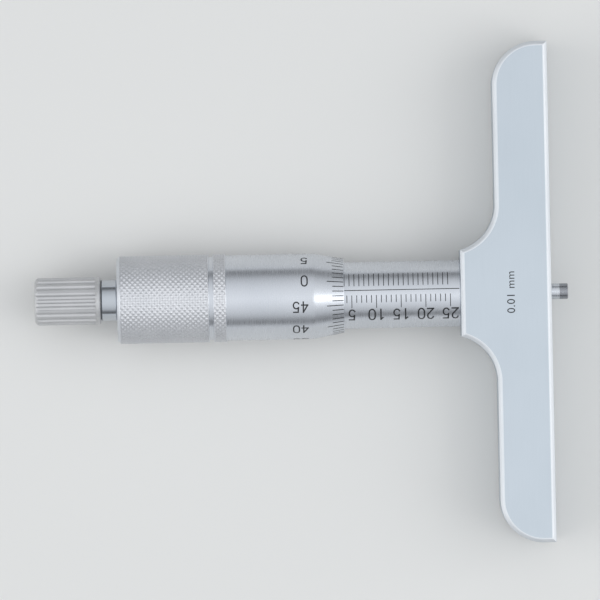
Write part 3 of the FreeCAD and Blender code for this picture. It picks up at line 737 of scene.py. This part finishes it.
# columns: across each flute, closer at its edges, then over the land to the next; a flute's edge
# is where its circle meets the knob's, by the rule of cosines
reach = math.acos((knob["radius"] ** 2 + fluteCentre ** 2 - knob["fluteRadius"] ** 2)
                  / (2 * knob["radius"] * fluteCentre))
beside = math.radians(0.25)
inFlute = np.array([-1.0, -0.97, -0.8, -0.55, -0.28, 0, 0.28, 0.55, 0.8, 0.97, 1.0]) * reach
onLand = [reach + beside, flutePitch / 2, flutePitch - reach - beside]
firstAngles = np.concatenate([inFlute, onLand])
knobAngles = (np.arange(knob["flutes"])[:, None] * flutePitch + firstAngles).ravel()
points, faces = turnedSurface(knobRows, knobAngles, flutes, closed=True)
knobPiece = meshFrom("ratchetKnob", points, faces, gripChrome, "knob_group")
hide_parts("ratchet_knob")

cap = {"radius": radiusOf("knob_end_cap"), "slopeHeight": 0.2, "slopeWidth": 0.4, "around": 96}
capBack, capFront = lowX("knob_end_cap"), highX("knob_end_cap")
capRows = softProfile([
    (capFront, 0, 0), (capFront, cap["radius"], 0.05),
    (capBack + cap["slopeHeight"], cap["radius"], 0.04),
    (capBack, cap["radius"] - cap["slopeWidth"], 0.15), (capBack, 0, 0)])
points, faces = turnedSurface(capRows, evenAngles(cap["around"]))
capPiece = meshFrom("knobEndCap", points, faces, turnedChrome, "knob_group")
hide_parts("knob_end_cap")
print("knob made")

spring = {"wire": 0.4, "turns": 4.5, "flatEnds": 0.5, "lift": 0.7, "perTurn": 28, "around": 14}
springFoot, springTop = lowX("ratchet_spring"), highX("ratchet_spring")


def coiledWire():
    # The wire's centre is at (x, coil sin a, coil cos a), where a grows evenly and x rises evenly
    # except over the flat end turns, with the change smoothed over 11 steps; round it the point at b
    # is moved by half the wire (cos b outwards and sin b along x). Both ends are closed.
    turns = np.linspace(0, spring["turns"], int(spring["turns"] * spring["perTurn"]) + 1)
    rise = np.clip((turns - spring["flatEnds"]) / (spring["turns"] - 2 * spring["flatEnds"]), 0, 1)
    rise = np.convolve(np.pad(rise, 5, mode="edge"), np.ones(11) / 11, mode="valid")
    half, around = spring["wire"] / 2, spring["around"]
    x = springFoot + half + (springTop - springFoot - 2 * half) * rise
    a, b = turns[:, None] * 2 * np.pi, evenAngles(around)[None, :]
    r = radiusOf("ratchet_spring") - half + half * np.cos(b)
    points = np.stack([x[:, None] + half * np.sin(b), r * np.sin(a), r * np.cos(a)], -1)
    count = len(turns) * around
    ends = [list(range(around))[::-1], list(range(count - around, count))]
    return points.reshape(-1, 3), gridFaces(len(turns), around) + ends


points, faces = coiledWire()
springPiece = meshFrom("ratchetSpring", points, faces, springWire, "knob_group")
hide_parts("ratchet_spring")
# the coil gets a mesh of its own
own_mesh(springPiece)
print("spring made")

rod = {"radius": radiusOf("measuring_rod"), "bevel": 0.03, "backBevel": 0.1, "tipChamfer": 0.15,
       "around": 96}
rodFront, rodBack = highX("measuring_rod"), lowX("measuring_rod")
rodRows = softProfile([
    (rodFront, 0, 0), (rodFront, rod["radius"], rod["bevel"]),
    (rodBack, rod["radius"], rod["backBevel"]), (rodBack, 0, 0)])
points, faces = turnedSurface(rodRows, evenAngles(rod["around"]))
rodPiece = meshFrom("measuringRod", points, faces, groundRod, "rod_group")
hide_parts("measuring_rod")
tipFace, tipBack = highX("rod_tip"), lowX("rod_tip")
tipRows = softProfile([
    (tipFace, 0, 0), (tipFace, rod["radius"] - rod["tipChamfer"], rod["bevel"]),
    (tipFace - rod["tipChamfer"], rod["radius"], rod["bevel"]),
    (tipBack, rod["radius"], rod["bevel"]), (tipBack, 0, 0)])
points, faces = turnedSurface(tipRows, evenAngles(rod["around"]))
tipPiece = meshFrom("rodTip", points, faces, carbide, "rod_group")
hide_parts("rod_tip")
print("rod made")

# the pieces hidden inside keep their own meshes
keptFinishes = {
    "rod_bush": hardSteel, "barrel": turnedSteel, "adjusting_nut": turnedSteel,
    "spindle": hardSteel, "fixed_crown": hardSteel, "screw_washer": turnedSteel,
    "retaining_screw": turnedSteel, "crown_keys": hardSteel, "thrust_washer": brass,
    "sliding_crown": hardSteel,
}
for name, finish in keptFinishes.items():
    for place in nodes[name].material_slots:
        place.material = finish
print("frame pieces finished")

stage = {
    "floorHex": "E2E2E0", "floorSize": 3.0, "gap": 0.02,
    # the sky's level at each height, 0 at the horizon and 1 overhead: pale wall, dim sides, soft top
    "skyHex": "F4F7FB", "sky": ((0.0, 0.95), (0.1, 0.9), (0.22, 0.16), (0.38, 0.22), (0.6, 0.7),
                                (0.9, 0.98), (1.0, 1.06)),
}
floorHeight = cadBox[0][2] - stage["gap"] * mm
floorMesh = bpy.data.meshes.new("floor")
floorMesh.from_pydata([(x * stage["floorSize"] / 2, y * stage["floorSize"] / 2, floorHeight)
                       for x, y in ((-1, -1), (1, -1), (1, 1), (-1, 1))], [], [(0, 1, 2, 3)])
floor = bpy.data.objects.new("floor", floorMesh)
bpy.context.scene.collection.objects.link(floor)
floorPaint = newFinish("matPaperFloor", stage["floorHex"], Roughness=0.9)[0]
floorMesh.materials.append(floorPaint)

scene = bpy.context.scene
scene.view_settings.view_transform = "Standard"
world = bpy.data.worlds.new("studio")
scene.world = world
world.use_nodes = True
sky = world.node_tree
sky.nodes.clear()
direction = addNode(sky, "ShaderNodeTexCoord").outputs["Generated"]
height = addNode(sky, "ShaderNodeSeparateXYZ", {"Vector": direction}).outputs["Z"]
glow = addNode(sky, "ShaderNodeValToRGB", {"Fac": height})
stops = glow.color_ramp.elements
for number, (place, level) in enumerate(stage["sky"]):
    stop = stops[number] if number < 2 else stops.new(place)  # a new ramp has two stops
    stop.position = place
    stop.color = (level, level, level, 1)
backdrop = addNode(sky, "ShaderNodeBackground", {
    "Color": linearColour(stage["skyHex"]), "Strength": glow.outputs["Color"]})
addNode(sky, "ShaderNodeOutputWorld", {"Surface": backdrop.outputs[0]})

lamps = {
    # name: place in metres, width and length in metres, watts
    "fromBase": ((0.8, -0.05, 0.5), 0.9, 1.1, 3.2),
    "fromKnob": ((-0.9, -0.1, 0.5), 0.9, 1.1, 3.2),
    "overBase": ((0.36, -0.12, 0.9), 0.3, 0.5, 0.6),
}
target = np.array([-0.05, 0.0, 0.0])  # the middle of the instrument, in metres
for name, (place, width, length, watts) in lamps.items():
    lamp = bpy.data.lights.new(name, "AREA")
    lamp.shape, lamp.size, lamp.size_y, lamp.energy = "RECTANGLE", width, length, watts
    holder = bpy.data.objects.new(name, lamp)
    scene.collection.objects.link(holder)
    holder.location = place
    holder.visible_camera = False
    toTarget = target - np.array(place)
    holder.rotation_euler = (math.atan2(math.hypot(toTarget[0], toTarget[1]), -toTarget[2]), 0,
                             math.atan2(toTarget[1], toTarget[0]) - math.pi / 2)

# height in metres, frame and centre in millimetres, roll in degrees
view = {"height": 2.0, "frameWidth": 122.0, "centre": (-51.0, -0.7), "roll": 1.18, "sensor": 36.0}
camera = bpy.data.cameras.new("camera")
camera.sensor_width = view["sensor"]
camera.lens = view["sensor"] * view["height"] / (view["frameWidth"] * mm)
camera.clip_end = 10
cameraHolder = bpy.data.objects.new("camera", camera)
scene.collection.objects.link(cameraHolder)
cameraHolder.location = (view["centre"][0] * mm, view["centre"][1] * mm, view["height"])
cameraHolder.rotation_euler = (0, 0, math.radians(-view["roll"]))
scene.camera = cameraHolder
print("stage ready")
